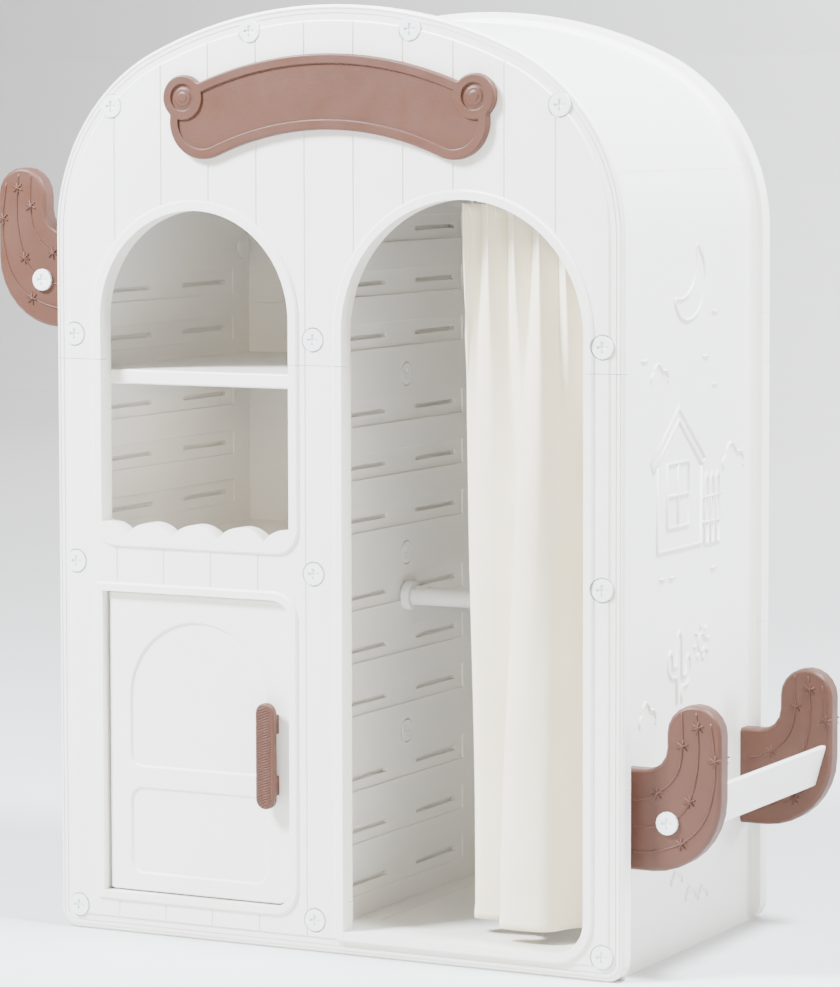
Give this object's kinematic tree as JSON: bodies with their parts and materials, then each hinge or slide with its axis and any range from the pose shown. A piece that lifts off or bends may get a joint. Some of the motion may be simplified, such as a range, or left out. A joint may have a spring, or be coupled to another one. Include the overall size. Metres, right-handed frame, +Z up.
{
  "type": "play wardrobe",
  "caption": "Arched plastic play wardrobe with a scalloped window, a small door, a curtained doorway, inner shelves and rod, a blank curved sign and cactus-arm book racks.",
  "frame": {"origin": "centre of the footprint on the floor, midway between the front face and the back face", "axes": "+Z up from the floor, front faces -Y, +X to the right as seen from the front"},
  "size_m": [1.086, 0.513, 1.2599],
  "materials": {
    "white_plastic": "satin moulded polyethylene",
    "brown_plastic": "satin moulded polyethylene",
    "screw_plastic": "smooth injection-moulded plastic",
    "rod_plastic": "smooth extruded plastic",
    "curtain_cloth": "woven cotton blend"
  },
  "bodies": {
    "carcass": {"back_lower": "white_plastic", "back_middle": "white_plastic", "back_screws": "screw_plastic", "back_upper": "white_plastic", "bracket_back_left": "brown_plastic", "bracket_back_right": "brown_plastic", "bracket_front_left": "brown_plastic", "bracket_front_right": "brown_plastic", "cabinet_shelf": "white_plastic", "clothes_rod": "rod_plastic", "curtain_ring_6": "rod_plastic", "curtain_rod": "rod_plastic", "divider": "white_plastic", "divider_screws": "screw_plastic", "floor_left": "white_plastic", "floor_right": "white_plastic", "front_lower_left": "white_plastic", "front_lower_right": "white_plastic", "front_screws": "screw_plastic", "front_upper": "white_plastic", "hinge_pins": "screw_plastic", "lower_shelf": "white_plastic", "rod_collars": "rod_plastic", "roof": "white_plastic", "root_screws_left": "screw_plastic", "root_screws_right": "screw_plastic", "side_left": "white_plastic", "side_right": "white_plastic", "side_screws": "screw_plastic", "sign": "brown_plastic", "tray_left": "white_plastic", "tray_right": "white_plastic", "tray_screws_left": "screw_plastic", "tray_screws_right": "screw_plastic", "upper_shelf": "white_plastic"},
    "door_leaf": {"door": "white_plastic", "door_handle": "brown_plastic", "handle_screws": "screw_plastic"},
    "curtain_free_edge": {"curtain": "curtain_cloth", "curtain_ring_1": "rod_plastic"},
    "ring_2": {"curtain_ring_2": "rod_plastic"},
    "ring_3": {"curtain_ring_3": "rod_plastic"},
    "ring_4": {"curtain_ring_4": "rod_plastic"},
    "ring_5": {"curtain_ring_5": "rod_plastic"}
  },
  "joints": [
    {"name": "door_swing", "type": "hinge", "parent": "carcass", "child": "door_leaf", "pos_m": [-0.34125, -0.23025, 0.2635], "axis": [0, 0, -1], "range_deg": [0, 90]},
    {"name": "curtain_draw", "type": "slide", "parent": "carcass", "child": "curtain_free_edge", "axis": [-1, 0, 0], "range_m": [0, 0.16]},
    {"name": "ring_2_slide", "type": "slide", "parent": "carcass", "child": "ring_2", "axis": [-1, 0, 0], "range_m": [0, 0.14436]},
    {"name": "ring_3_slide", "type": "slide", "parent": "carcass", "child": "ring_3", "axis": [-1, 0, 0], "range_m": [0, 0.10468]},
    {"name": "ring_4_slide", "type": "slide", "parent": "carcass", "child": "ring_4", "axis": [-1, 0, 0], "range_m": [0, 0.05732]},
    {"name": "ring_5_slide", "type": "slide", "parent": "carcass", "child": "ring_5", "axis": [-1, 0, 0], "range_m": [0, 0.01764]}
  ],
  "couplings": [
    {"joint": "ring_2_slide", "follows": "curtain_draw", "ratio": 0.896},
    {"joint": "ring_3_slide", "follows": "curtain_draw", "ratio": 0.648},
    {"joint": "ring_4_slide", "follows": "curtain_draw", "ratio": 0.352},
    {"joint": "ring_5_slide", "follows": "curtain_draw", "ratio": 0.104}
  ]
}
